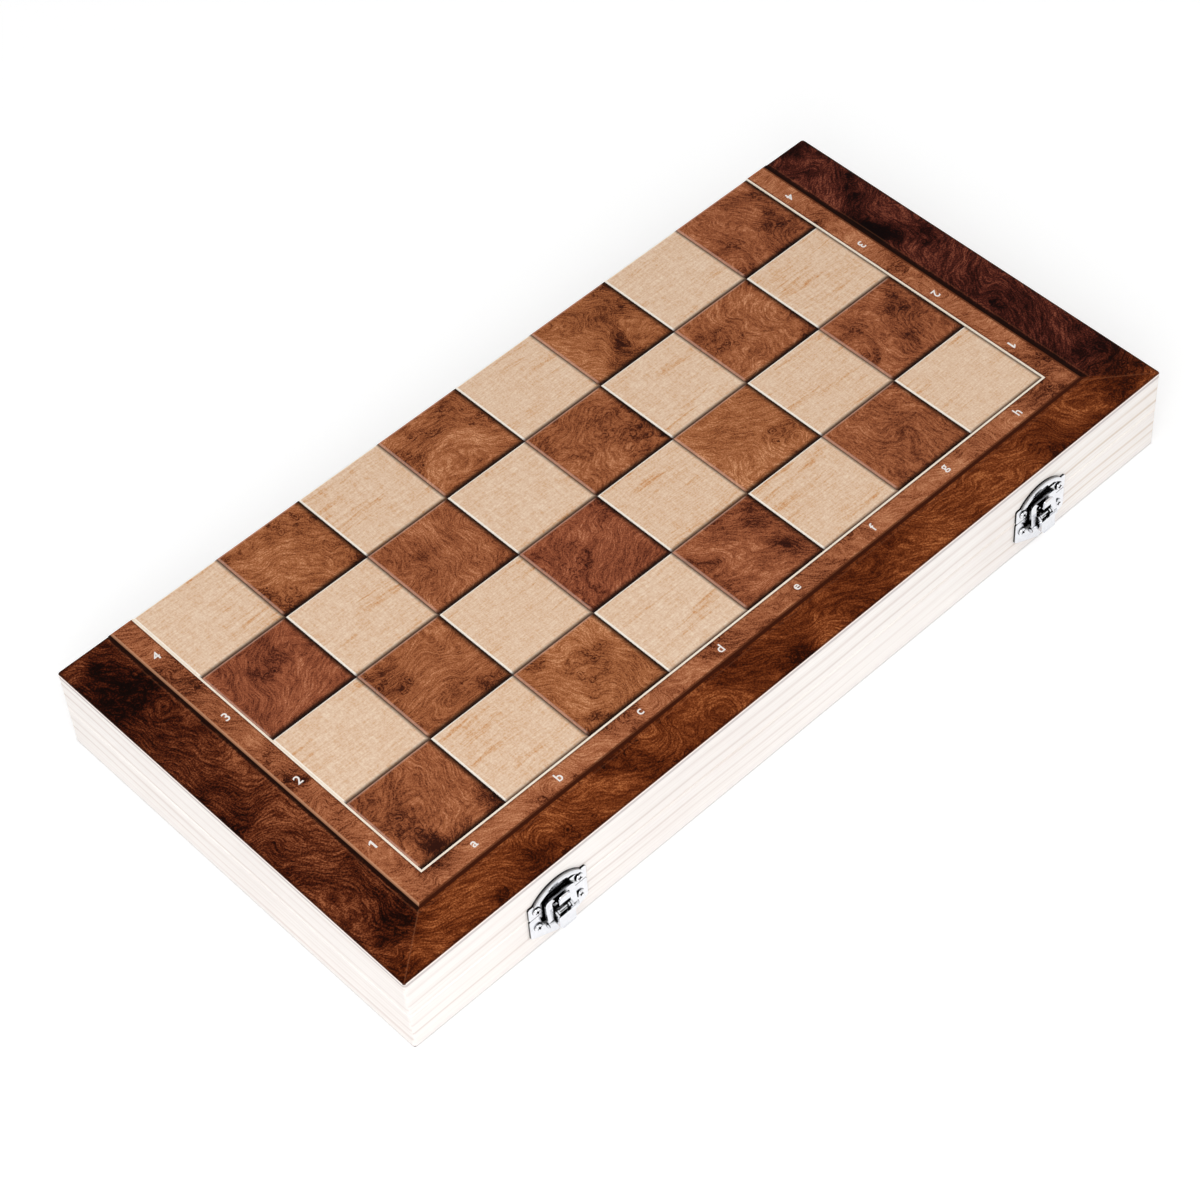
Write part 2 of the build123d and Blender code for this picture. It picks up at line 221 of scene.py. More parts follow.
def blend_colours(tree, amount, first, second):
    """The first colour where the amount is 0, the second where it is 1."""
    made = tree.nodes.new("ShaderNodeMix")
    made.data_type = "RGBA"
    made.clamp_factor = True
    plug(tree, made.inputs[0], amount)
    plug(tree, made.inputs[6], first)
    plug(tree, made.inputs[7], second)
    return made.outputs[2]


def stain(tree, colour, mask, strength, stain_colour):
    """A colour stained where the mask is, up to a strength from 0 to 1."""
    return blend_colours(tree, multiply(tree, mask, strength), colour, stain_colour)


def ramp(tree, value, stops):
    """Colours along a value, each stop given by its position and its paint."""
    made = tree.nodes.new("ShaderNodeValToRGB")
    marks = made.color_ramp.elements
    for mark, (position, colour) in ((marks[0], stops[0]), (marks[1], stops[-1])):
        mark.position = position
        mark.color = colour
    for position, colour in stops[1:-1]:
        marks.new(position).color = colour
    plug(tree, made.inputs[0], value)
    return made.outputs[0]


print("mask and colour helpers ready")

# %% [markdown]
# ## Node groups
# An effect that several materials share is built once, as a group with named inputs and outputs.
# The group gives only masks and values. The shader that turns them into a surface stays in each
# material, where its own colours and gloss are easy to find.

# %% Helpers that start a group and place it


def start_group(name, inputs, outputs):
    """A new group, with the sockets that its nodes start from and end in."""
    group = bpy.data.node_groups.new(name, "ShaderNodeTree")
    for label, kind in inputs.items():
        group.interface.new_socket(name=label, in_out="INPUT", socket_type="NodeSocket" + kind)
    for label in outputs:
        group.interface.new_socket(name=label, in_out="OUTPUT", socket_type="NodeSocketFloat")
    begin = group.nodes.new("NodeGroupInput")
    end = group.nodes.new("NodeGroupOutput")
    return group, begin.outputs, end.inputs


def place_group(tree, group, **values):
    """Put a group into a material, each input by its own name."""
    made = tree.nodes.new("ShaderNodeGroup")
    made.node_tree = group
    for name, value in values.items():
        plug(tree, made.inputs[name], value)
    return made.outputs


print("group helpers ready")

# %% [markdown]
# ## Burl figure
# Burl is wood from a swelling of the trunk, where the grain swirls round clusters of small dark
# buds. It could be a painted picture, but a picture has one size and shows its repeat. Here it is
# worked out, with the square as the unit of length. The dark marks come first: buds, which stand
# only where a slow cloud is high, and larger smoky knots.

# %% Start the burl group with its marks
BUDS_PER_SQUARE = 8.5
KNOTS_PER_SQUARE = 1.25
CLUSTER_EDGE = 0.67
WARP_REACH = 1.2
WOBBLE_REACH = 0.12
RING_RADIUS = 0.33

burl, given, result = start_group(
    "burl_figure", {"Place": "Vector", "Lean": "Vector", "Clusters": "Float"}, ["Tone"]
)
push = calculate_vector(burl, "SUBTRACT", cloud(burl, given["Place"], 1.3)[1], (0.5, 0.5, 0.5))
push = calculate_vector(burl, "MULTIPLY", push, (WARP_REACH, WARP_REACH, 0.0))
warped = calculate_vector(burl, "ADD", given["Place"], push)

patch = cloud(burl, given["Place"], 1.7, detail=1.0)[0]
edge = calculate(burl, "MULTIPLY_ADD", given["Clusters"], -0.1, CLUSTER_EDGE)
outer_edge = calculate(burl, "SUBTRACT", edge, 0.05)
inside = fade(burl, patch, edge, calculate(burl, "ADD", edge, 0.05))
halo = fade(burl, patch, outer_edge, calculate(burl, "ADD", edge, 0.06))

wobble = cloud(burl, given["Place"], 9.0)[1]
wobble = calculate_vector(burl, "MULTIPLY", wobble, (WOBBLE_REACH, WOBBLE_REACH, 0.0))
from_bud = points(burl, calculate_vector(burl, "ADD", given["Place"], wobble), BUDS_PER_SQUARE)[0]
eye = fade(burl, from_bud, 0.20, 0.08)
ring = fade(burl, gap(burl, from_bud, RING_RADIUS), 0.10, 0.02)
buds = calculate(burl, "MAXIMUM", eye, multiply(burl, ring, 0.55))
buds = multiply(burl, buds, inside)

from_knot, knot_colour = points(burl, warped, KNOTS_PER_SQUARE)
present = fade(burl, split(burl, knot_colour)[0], 0.34, 0.42)
smoke = multiply(burl, fade(burl, from_knot, 0.30, 0.06), present)
core = multiply(burl, fade(burl, from_knot, 0.085, 0.03), present)
print("burl marks:", len(burl.nodes), "nodes")

# %% [markdown]
# The grain is a smooth field that works like the heights on a map: fine streaks follow its contour
# lines. Buds and knots each raise a small hill in it, so the streaks close into rings round them,
# as the grain does. The tone adds up the streaks and lets every mark darken it.

# %% Finish the burl group with its grain
bud_hill = multiply(burl, inside, fade(burl, from_bud, 0.55, 0.0))
hill = calculate(burl, "MULTIPLY_ADD", smoke, 1.6, bud_hill)
trend = calculate_vector(burl, "DOT_PRODUCT", given["Place"], given["Lean"])
swirl = cloud(burl, warped, 1.2, detail=1.5, roughness=0.45)[0]
field = multiply(burl, trend, 1.1)
field = calculate(burl, "MULTIPLY_ADD", swirl, 1.5, field)
field = calculate(burl, "MULTIPLY_ADD", hill, 0.09, field)
x, y, z = split(burl, given["Place"])


def along_contours(fine, long):
    """A place that changes fast across the contour lines and slowly along them."""
    return combine(
        burl,
        multiply(burl, field, fine),
        multiply(burl, x, long),
        calculate(burl, "MULTIPLY_ADD", y, long, z),
    )


streaks = cloud_mask(burl, along_contours(fine=48.0, long=9.0), 1.0, 0.34, 0.66, roughness=0.65)
figure_lines = cloud_mask(burl, along_contours(fine=12.0, long=2.2), 1.0, 0.34, 0.66, roughness=0.55)
speckle = cloud_mask(burl, given["Place"], 66.0, 0.39, 0.61, roughness=0.8)
drift = cloud_mask(burl, warped, 1.6, 0.32, 0.68, detail=4.0, roughness=0.55)
tone = centred(burl, 0.56, [(drift, 0.24), (streaks, 0.30), (figure_lines, 0.14), (speckle, 0.28)])
for mark, change in ((smoke, -0.26), (core, -0.30), (halo, -0.17), (buds, -0.36)):
    tone = calculate(burl, "MULTIPLY_ADD", mark, change, tone)
plug(burl, result["Tone"], tone)
print("burl group:", len(burl.nodes), "nodes")

# %% [markdown]
# ## Where a square begins
# All dark squares are one object, yet each must look like its own piece of veneer. Rounding a
# point's place down to a whole square gives every square one number of its own, and a random value
# from it moves and turns the figure, so that no two squares are alike. What is left after rounding
# tells how near an edge the point lies. Each square looks raised: pale along its left and back
# edges, dark along its right and front edges.

# %% Build the square group
squares, given, result = start_group(
    "square_place",
    {"Place": "Vector"},
    ["Across", "Along", "Seed", "Tint", "Lean across", "Lean along", "Near shade", "Near light"],
)
moved = calculate_vector(squares, "SUBTRACT", given["Place"], (FIELD_SHIFT, FIELD_FRONT, 0.0))
scaled = calculate_vector(squares, "MULTIPLY", moved, (1 / SQUARE, 1 / SQUARE, 0.0))
whole = calculate_vector(squares, "FLOOR", scaled, (0.0, 0.0, 0.0))
part = split(squares, calculate_vector(squares, "SUBTRACT", scaled, whole))
upper_half = calculate(squares, "GREATER_THAN", split(squares, given["Place"])[2], PARTING)
number = split(squares, whole)
dice = squares.nodes.new("ShaderNodeTexWhiteNoise")
dice.noise_dimensions = "3D"
plug(squares, dice.inputs["Vector"], combine(squares, number[0], number[1], upper_half))
dice_colour = split(squares, dice.outputs["Color"])
turn = multiply(squares, dice_colour[0], 2 * math.pi)
to_left = calculate(squares, "SUBTRACT", 1.0, part[0])
to_front = calculate(squares, "SUBTRACT", 1.0, part[1])
for label, socket in {
    "Across": part[0],
    "Along": part[1],
    "Seed": dice.outputs["Value"],
    "Tint": dice_colour[1],
    "Lean across": calculate(squares, "COSINE", turn),
    "Lean along": calculate(squares, "SINE", turn),
    "Near shade": calculate(squares, "MAXIMUM", part[0], to_front),
    "Near light": calculate(squares, "MAXIMUM", to_left, part[1]),
}.items():
    plug(squares, result[label], socket)
print("square group:", len(squares.nodes), "nodes")

# %% [markdown]
# ## How far from the field
# The strips round the field have soft dark and pale edges. One group measures how far a point lies
# outside the field, in millimetres, so that each strip can place its own edges by plain numbers.

# %% Build the offset group
offsets, given, result = start_group(
    "field_offset", {"Place": "Vector"}, ["Offset", "In front", "On left"]
)
x, y = split(offsets, given["Place"])[:2]
sideways = calculate(offsets, "SUBTRACT", gap(offsets, x, FIELD_SHIFT), HALF_FIELD)
forwards = calculate(offsets, "SUBTRACT", FIELD_FRONT, y)
offset = calculate(offsets, "MAXIMUM", sideways, forwards)
in_front = calculate(offsets, "GREATER_THAN", forwards, sideways)
left_half = calculate(offsets, "LESS_THAN", x, FIELD_SHIFT)
plug(offsets, result["Offset"], multiply(offsets, offset, MILLIMETRES))
plug(offsets, result["In front"], in_front)
plug(offsets, result["On left"], calculate(offsets, "SUBTRACT", left_half, in_front, clamp=True))
print("offset group:", len(offsets.nodes), "nodes")

# %% [markdown]
# ## Maple figure
# The light squares are a pale maple with broken tan streaks along the grain and a rippled cross
# figure, which comes from fibres that wave up and down under the cut. Four clouds do it. Two are
# long along the grain, for the streaks and the thin fibres. One is long across it, for the ripple,
# and a fine one makes the pores. A fifth says where there are streaks at all, and a sixth bends the
# four a little. Here too the square is the unit of length.

# %% Build the maple group
BEND = 0.10
maple, given, result = start_group("maple_figure", {"Place": "Vector"}, ["Tone"])
bend = calculate_vector(maple, "MULTIPLY", cloud(maple, given["Place"], 1.6)[1], (0.0, BEND, 0.0))
bent = calculate_vector(maple, "ADD", given["Place"], bend)


def stretched(scale_x, scale_y, start=0.36, end=0.64, detail=2.0):
    """A mask with its own scale along X, where the grain runs, and along Y."""
    sized = calculate_vector(maple, "MULTIPLY", bent, (scale_x, scale_y, 1.0))
    return cloud_mask(maple, sized, 1.0, start, end, detail, roughness=0.6)


streak = stretched(1.1, 15.0, start=0.50, end=0.68, detail=3.0)
where = cloud_mask(maple, given["Place"], 1.5, 0.38, 0.60, detail=1.0)
ripple = stretched(30.0, 5.5)
fibre = stretched(7.0, 62.0)
pore = stretched(66.0, 50.0, detail=1.0)
tone = centred(maple, 0.57, [(ripple, 0.15), (fibre, 0.23), (pore, 0.26)])
tone = calculate(maple, "MULTIPLY_ADD", multiply(maple, streak, where), -0.36, tone)
plug(maple, result["Tone"], tone)
print("maple group:", len(maple.nodes), "nodes")

# %% [markdown]
# ## Pine grain
# A sawn pine rail shows its growth rings as long, faint, thin lines a few millimetres apart. The
# lines are a wave over the height of the rail, pushed up and down by slow noise, so that they
# wander, come close and fade out, as they do in real wood.

# %% Build the pine group
RING_SPACING = 0.0055
SWAY = 0.009
RISE_ACROSS = 0.35
pine, given, result = start_group(
    "pine_grain", {"Along": "Float", "Across": "Float", "Up": "Float"}, ["Rings", "Fine", "Drift"]
)
slow = combine(pine, multiply(pine, given["Along"], 3.0), given["Across"], given["Up"])
sway = multiply(pine, cloud(pine, slow, 2.2)[0], SWAY)
rise = calculate(pine, "ADD", given["Up"], sway)
rise = calculate(pine, "MULTIPLY_ADD", given["Across"], RISE_ACROSS, rise)


def ring_lines(spacing, sharpness, shift):
    """Thin lines over the height, unevenly spaced, each with its own strength."""
    uneven = combine(pine, 0.0, shift, multiply(pine, rise, 130.0))
    uneven = multiply(pine, cloud(pine, uneven, 1.0, detail=1.0)[0], 7.0)
    turn = calculate(pine, "MULTIPLY_ADD", rise, 2 * math.pi / spacing, uneven)
    wave = calculate(pine, "MULTIPLY_ADD", calculate(pine, "SINE", turn), 0.5, 0.5)
    fading = combine(pine, multiply(pine, given["Along"], 9.0), shift, multiply(pine, rise, 160.0))
    strength = fade(pine, cloud(pine, fading, 1.0, detail=1.0)[0], 0.32, 0.62, low=0.15)
    return multiply(pine, calculate(pine, "POWER", wave, sharpness), strength)


broad = ring_lines(RING_SPACING, sharpness=6.0, shift=0.0)
narrow = ring_lines(RING_SPACING / 2.7, sharpness=9.0, shift=5.0)
fine_place = combine(
    pine,
    multiply(pine, given["Along"], 22.0),
    multiply(pine, given["Across"], 700.0),
    multiply(pine, rise, 1500.0),
)
plug(pine, result["Rings"], calculate(pine, "MULTIPLY_ADD", narrow, 0.35, broad))
plug(pine, result["Fine"], cloud_mask(pine, fine_place, 1.0, 0.40, 0.66, roughness=0.6))
plug(pine, result["Drift"], cloud_mask(pine, slow, 7.0, 0.35, 0.65))
print("pine group:", len(pine.nodes), "nodes")

# %% [markdown]
# ## A material, and what wears it
# Every material starts as the same kind of surface with its own gloss. Dressing a piece clears its
# slots first, so that nothing of its plain CAD colour is left.

# %% Helpers for materials
LACQUER_ROUGHNESS = 0.40
LACQUER_SPECULAR = 0.11
GRAIN_DEPTH = 0.00002
MAPLE_DEPTH = 0.000012


def new_material(name, roughness, metallic=0.0, specular=0.5):
    """A material, its tree, its shader and the place of each point on the piece."""
    material = bpy.data.materials.new(name)
    material.use_nodes = True
    tree = material.node_tree
    shader = tree.nodes["Principled BSDF"]
    shader.inputs["Roughness"].default_value = roughness
    shader.inputs["Metallic"].default_value = metallic
    shader.inputs["Specular IOR Level"].default_value = specular
    place = tree.nodes.new("ShaderNodeTexCoord").outputs["Object"]
    return material, tree, shader, place


def lacquered(name):
    """A material with the satin lacquer of the play faces."""
    return new_material(name, LACQUER_ROUGHNESS, specular=LACQUER_SPECULAR)


def add_bump(tree, shader, height, distance=GRAIN_DEPTH):
    """Let a mask raise the surface by a real distance."""
    made = tree.nodes.new("ShaderNodeBump")
    made.inputs["Strength"].default_value = 1.0
    made.inputs["Distance"].default_value = distance
    plug(tree, made.inputs["Height"], height)
    plug(tree, shader.inputs["Normal"], made.outputs["Normal"])


def dress(piece, material):
    """Give a piece this material and no other."""
    piece.data.materials.clear()
    piece.data.materials.append(material)


def wear(material, *names):
    """Put a material on CAD nodes."""
    for name in names:
        dress(nodes[name], material)


def both(name):
    """The names of a piece in the upper and the lower half."""
    return f"upper_{name}", f"lower_{name}"


print("material helpers ready")

# %% [markdown]
# ## Colours and places for veneer
# Each veneer has seven paints, from its darkest lines to its palest. Burl and maple each have their
# own positions for them. The veneer of a square takes its figure from somewhere far off on one
# imagined sheet, chosen by the square's own numbers. A strip takes it from where it lies, and the
# height moves it on, so that the two halves differ.

# %% Helpers for veneer
BURL_STOPS = (0.0, 0.24, 0.40, 0.50, 0.62, 0.78, 1.0)
MAPLE_STOPS = (0.0, 0.22, 0.38, 0.52, 0.66, 0.82, 1.0)
HEIGHT_STEP = 300.0


def paints(positions, *colours):
    """The stops of a ramp."""
    return [(position, paint(*colour)) for position, colour in zip(positions, colours)]


def square_veneer(tree, own, jump_across, jump_along):
    """A place on the imagined sheet for each square."""
    return combine(
        tree,
        calculate(tree, "MULTIPLY_ADD", own["Seed"], jump_across, own["Across"]),
        calculate(tree, "MULTIPLY_ADD", own["Tint"], jump_along, own["Along"]),
        own["Seed"],
    )


def square_tone(tree, own, tone, spread):
    """A tone that is a little lighter or darker for each square."""
    tone = calculate(tree, "MULTIPLY_ADD", own["Tint"], spread, tone)
    return calculate(tree, "SUBTRACT", tone, spread / 2)


def strip_veneer(tree, place, scale):
    """A place on a strip, counted in squares."""
    return calculate_vector(tree, "MULTIPLY", place, (scale / SQUARE, scale / SQUARE, HEIGHT_STEP))


print("veneer helpers ready")

# %% [markdown]
# ## Dark squares
# Reddish brown burl with a satin lacquer. Some squares are redder and some yellower, as sheets from
# different parts of a burl are, so two colour ramps are blended by each square's own number.

# %% Make the dark veneer
YELLOW_BROWN = paints(
    BURL_STOPS, (54, 22, 12), (104, 52, 27), (144, 82, 47),
    (158, 93, 55), (170, 104, 63), (190, 124, 82), (222, 162, 118),
)
RED_BROWN = paints(
    BURL_STOPS, (44, 16, 10), (84, 37, 24), (120, 60, 40),
    (135, 70, 46), (148, 80, 53), (172, 99, 68), (208, 142, 106),
)
material, tree, shader, place = lacquered("dark_burl_veneer")
own = place_group(tree, squares, Place=place)
here = square_veneer(tree, own, jump_across=37.0, jump_along=29.0)
lean = combine(tree, own["Lean across"], own["Lean along"], 0.0)
figure = place_group(tree, burl, Place=here, Lean=lean, Clusters=1.0)
tone = square_tone(tree, own, figure["Tone"], spread=0.10)
colour = blend_colours(tree, own["Seed"], ramp(tree, tone, YELLOW_BROWN), ramp(tree, tone, RED_BROWN))
shade = fade(tree, own["Near shade"], 0.928, 0.990)
pale = fade(tree, own["Near light"], 0.972, 0.988)
pale = multiply(tree, pale, calculate(tree, "SUBTRACT", 1.0, shade))
colour = stain(tree, colour, pale, 0.50, paint(214, 168, 146))
colour = stain(tree, colour, shade, 0.96, paint(16, 5, 3))
plug(tree, shader.inputs["Base Color"], colour)
add_bump(tree, shader, figure["Tone"])
wear(material, *both("dark_squares"))
print(material.name, len(tree.nodes), "nodes")

# %% [markdown]
# ## Light squares
# Pale maple, lacquered like the dark squares. The streaks run along X in every square.

# %% Make the light veneer
PALE_MAPLE = paints(
    MAPLE_STOPS, (208, 144, 92), (219, 172, 131), (224, 186, 153),
    (229, 195, 165), (233, 202, 174), (239, 212, 186), (247, 226, 204),
)
material, tree, shader, place = lacquered("light_maple_veneer")
own = place_group(tree, squares, Place=place)
here = square_veneer(tree, own, jump_across=41.0, jump_along=23.0)
figure = place_group(tree, maple, Place=here)
colour = ramp(tree, square_tone(tree, own, figure["Tone"], spread=0.08), PALE_MAPLE)
shade = fade(tree, own["Near shade"], 0.954, 0.996)
pale = fade(tree, own["Near light"], 0.978, 0.988)
colour = stain(tree, colour, pale, 0.95, paint(255, 246, 234))
colour = stain(tree, colour, shade, 0.92, paint(62, 38, 26))
plug(tree, shader.inputs["Base Color"], colour)
add_bump(tree, shader, figure["Tone"], MAPLE_DEPTH)
wear(material, *both("light_squares"))
print(material.name, len(tree.nodes), "nodes")

# %% [markdown]
# ## Coordinate band
# A mid brown burl strip that carries the letters. Next to the pale inlay line it is a little
# shaded. Beside the black line it ends in a thin edge, light on the left and dark elsewhere.

# %% Make the band
BAND_BROWN = paints(
    BURL_STOPS, (46, 16, 7), (98, 46, 24), (140, 78, 48),
    (157, 91, 58), (169, 102, 67), (188, 122, 84), (214, 154, 114),
)
material, tree, shader, place = lacquered("band_burl_veneer")
here = strip_veneer(tree, place, scale=1.0)
figure = place_group(tree, burl, Place=here, Lean=(0.6, 0.8, 0.0), Clusters=1.15)
colour = ramp(tree, figure["Tone"], BAND_BROWN)
strip = place_group(tree, offsets, Place=place)
offset = strip["Offset"]
not_left = calculate(tree, "SUBTRACT", 1.0, strip["On left"])
light_edge = multiply(tree, fade(tree, offset, 8.3, 8.7), strip["On left"])
dark_edge = multiply(tree, fade(tree, offset, 8.1, 8.6), not_left)
colour = stain(tree, colour, fade(tree, offset, 1.5, 0.8), 0.62, paint(74, 36, 20))
colour = stain(tree, colour, light_edge, 0.65, paint(206, 152, 116))
colour = stain(tree, colour, dark_edge, 0.85, paint(84, 40, 20))
plug(tree, shader.inputs["Base Color"], colour)
add_bump(tree, shader, figure["Tone"])
wear(material, *both("coordinate_band"))
print(material.name, len(tree.nodes), "nodes")

# %% [markdown]
# ## Edges of the border
# The border is shaded wherever it meets something. Beside the black line the side strips are dark,
# and the front one hardly, with a faint pale line just outside. Another follows the left mitre. The
# right strip is narrower, so on the right that line lies a little beside the joint. Towards the rim
# the border is dark again. On the rim the bare edge of the sheet shows: nearly white above, and a
# light grey below, where it is in its own shade.

# %% A helper for the border's edges
LEFT_MITRE_SLOPE = 0.808


def shade_border(tree, colour, place):
    """The colour of a border strip with its lines and edges added."""
    strip = place_group(tree, offsets, Place=place)
    offset = strip["Offset"]
    strength = calculate(tree, "MULTIPLY_ADD", strip["In front"], -0.75, 0.85)
    colour = stain(tree, colour, fade(tree, offset, 11.0, 10.6), strength, paint(20, 5, 2))
    beside_dark = fade(tree, gap(tree, offset, 11.2), 0.35, 0.1)
    colour = stain(tree, colour, beside_dark, 0.15, paint(150, 92, 62))

    x, y, z = split(tree, place)
    beyond_side = calculate(tree, "SUBTRACT", calculate(tree, "ABSOLUTE", x), HALF_WIDTH)
    beyond_end = calculate(tree, "SUBTRACT", calculate(tree, "ABSOLUTE", y), HALF_DEPTH)
    beyond_front = calculate(tree, "SUBTRACT", multiply(tree, y, -1.0), HALF_DEPTH)
    from_mitre = calculate(tree, "MULTIPLY_ADD", beyond_side, -LEFT_MITRE_SLOPE, beyond_front)
    on_mitre = fade(tree, calculate(tree, "ABSOLUTE", from_mitre), 0.0004, 0.0001)
    colour = stain(tree, colour, on_mitre, 0.30, paint(150, 92, 62))

    rim = multiply(tree, calculate(tree, "MAXIMUM", beyond_side, beyond_end), MILLIMETRES)
    colour = stain(tree, colour, fade(tree, rim, -1.1, -0.5), 0.55, paint(30, 8, 3))
    lower_half = calculate(tree, "LESS_THAN", z, PARTING)
    bare = blend_colours(tree, lower_half, paint(252, 238, 230), paint(206, 200, 197))
    return blend_colours(tree, fade(tree, rim, -0.14, -0.04), colour, bare)


print("border helper ready")

# %% [markdown]
# ## Outer border
# Three darker burl strips, mitred at the front corners. Each is its own strip of veneer, so each
# has its own direction of grain, and the change at the mitre shows. The side strips start in the
# front strip's colours and turn darker towards their own. Near the fold they have nearly black
# patches.

# %% Make the border
BORDER_SCALE = 0.85
FRONT_BROWN = paints(
    BURL_STOPS, (36, 8, 1), (68, 22, 3), (92, 38, 11),
    (103, 46, 17), (117, 55, 22), (146, 76, 38), (186, 112, 64),
)
LEFT_BROWN = paints(
    BURL_STOPS, (14, 2, 0), (44, 9, 2), (72, 26, 9),
    (86, 36, 15), (100, 46, 22), (128, 67, 39), (166, 98, 62),
)
RIGHT_BROWN = paints(
    BURL_STOPS, (12, 1, 1), (36, 8, 4), (58, 20, 13),
    (69, 27, 19), (83, 35, 25), (112, 54, 39), (148, 82, 60),
)
for side, stops, lean, contrast, patches in (
    ("left", LEFT_BROWN, (0.9, 0.45, 0.0), 1.30, -0.15),
    ("front", FRONT_BROWN, (0.4, 0.9, 0.0), 1.10, 0.0),
    ("right", RIGHT_BROWN, (0.8, -0.6, 0.0), 1.25, -0.34),
):
    material, tree, shader, place = lacquered(f"{side}_border_veneer")
    here = strip_veneer(tree, place, BORDER_SCALE)
    figure = place_group(tree, burl, Place=here, Lean=lean, Clusters=1.1)
    y = split(tree, place)[1]
    patch = cloud_mask(tree, here, 1.5, 0.40, 0.58, detail=3.0, roughness=0.6)
    patch = multiply(tree, patch, fade(tree, y, 0.030, 0.062))
    tone = calculate(tree, "MULTIPLY_ADD", figure["Tone"], contrast, (1 - contrast) / 2)
    tone = calculate(tree, "MULTIPLY_ADD", patch, patches, tone)
    tone = calculate(tree, "SUBTRACT", tone, 0.025)
    past_front = fade(tree, y, -0.086, -0.058)
    colour = blend_colours(tree, past_front, ramp(tree, tone, FRONT_BROWN), ramp(tree, tone, stops))
    plug(tree, shader.inputs["Base Color"], shade_border(tree, colour, place))
    add_bump(tree, shader, figure["Tone"])
    wear(material, *both(f"{side}_border"))
    print(material.name, len(tree.nodes), "nodes")

# %% [markdown]
# ## The two inlay lines
# A thin pale line frames the field and a thin black one frames the band. They are narrow, so a
# faint unevenness is all the detail that shows. The black line is browner in front, and on the left
# its inner edge is light, like the band's edge beside it.

# %% Make the inlay lines
for name, dark, light, wearer in (
    ("pale_inlay_line", paint(240, 220, 196), paint(255, 246, 232), "inner_line"),
    ("black_inlay_line", paint(10, 3, 1), paint(40, 14, 6), "outer_line"),
):
    material, tree, shader, place = lacquered(name)
    unevenness = cloud(tree, place, 260.0, detail=3.0, roughness=0.6)[0]
    colour = blend_colours(tree, unevenness, dark, light)
    if wearer == "outer_line":
        strip = place_group(tree, offsets, Place=place)
        light_edge = multiply(tree, fade(tree, strip["Offset"], 9.55, 9.25), strip["On left"])
        colour = blend_colours(tree, light_edge, colour, paint(160, 112, 84))
        colour = stain(tree, colour, strip["In front"], 0.8, paint(66, 25, 8))
    plug(tree, shader.inputs["Base Color"], colour)
    wear(material, *both(wearer))
    print(name)

# %% [markdown]
# ## Pine rails
# Pale, nearly white pine with thin pinkish lines, which turn tan towards the right end. The grain
# of a rail runs along it, so the rails along X and those along Y need their own material, made by
# one loop with the axes swapped.

# %% Make the pine
for name, along, across, sides in (
    ("pine_along_x", 0, 1, ("front_rail", "back_rail")),
    ("pine_along_y", 1, 0, ("left_rail", "right_rail")),
):
    material, tree, shader, place = new_material(name, roughness=0.6, specular=0.2)
    axis = split(tree, place)
    grain = place_group(tree, pine, Along=axis[along], Across=axis[across], Up=axis[2])
    tan_rings = multiply(tree, fade(tree, axis[0], 0.06, 0.16), grain["Rings"])
    colour = blend_colours(tree, grain["Drift"], paint(250, 244, 240), paint(254, 249, 245))
    colour = stain(tree, colour, grain["Rings"], 0.80, paint(225, 213, 207))
    colour = stain(tree, colour, grain["Fine"], 0.14, paint(228, 212, 204))
    colour = stain(tree, colour, tan_rings, 0.4, paint(222, 200, 172))
    plug(tree, shader.inputs["Base Color"], colour)
    add_bump(tree, shader, grain["Fine"])
    for side in sides:
        wear(material, *both(side))
    print(name, len(tree.nodes), "nodes")

# %% [markdown]
# ## Panel edge
# The panel under each play face shows only its sawn edge, as pale as the rails. A light grey line
# of painted shade runs along it on the upper half.

# %% Make the panel
SHADE_LINE_HEIGHT = 0.0336
material, tree, shader, place = new_material("panel_board", roughness=0.65, specular=0.2)
flattened = calculate_vector(tree, "MULTIPLY", place, (60.0, 60.0, 2600.0))
layers = cloud(tree, flattened, 1.0, detail=3.0, roughness=0.6)[0]
colour = blend_colours(tree, layers, paint(240, 232, 228), paint(254, 250, 247))
# Painted shade: a light grey line along the upper panel's edge.
from_shade_line = gap(tree, split(tree, place)[2], SHADE_LINE_HEIGHT)
colour = stain(tree, colour, fade(tree, from_shade_line, 0.0009, 0.0002), 0.9, paint(204, 195, 191))
plug(tree, shader.inputs["Base Color"], colour)
add_bump(tree, shader, layers)
wear(material, *both("panel"))
print(material.name)
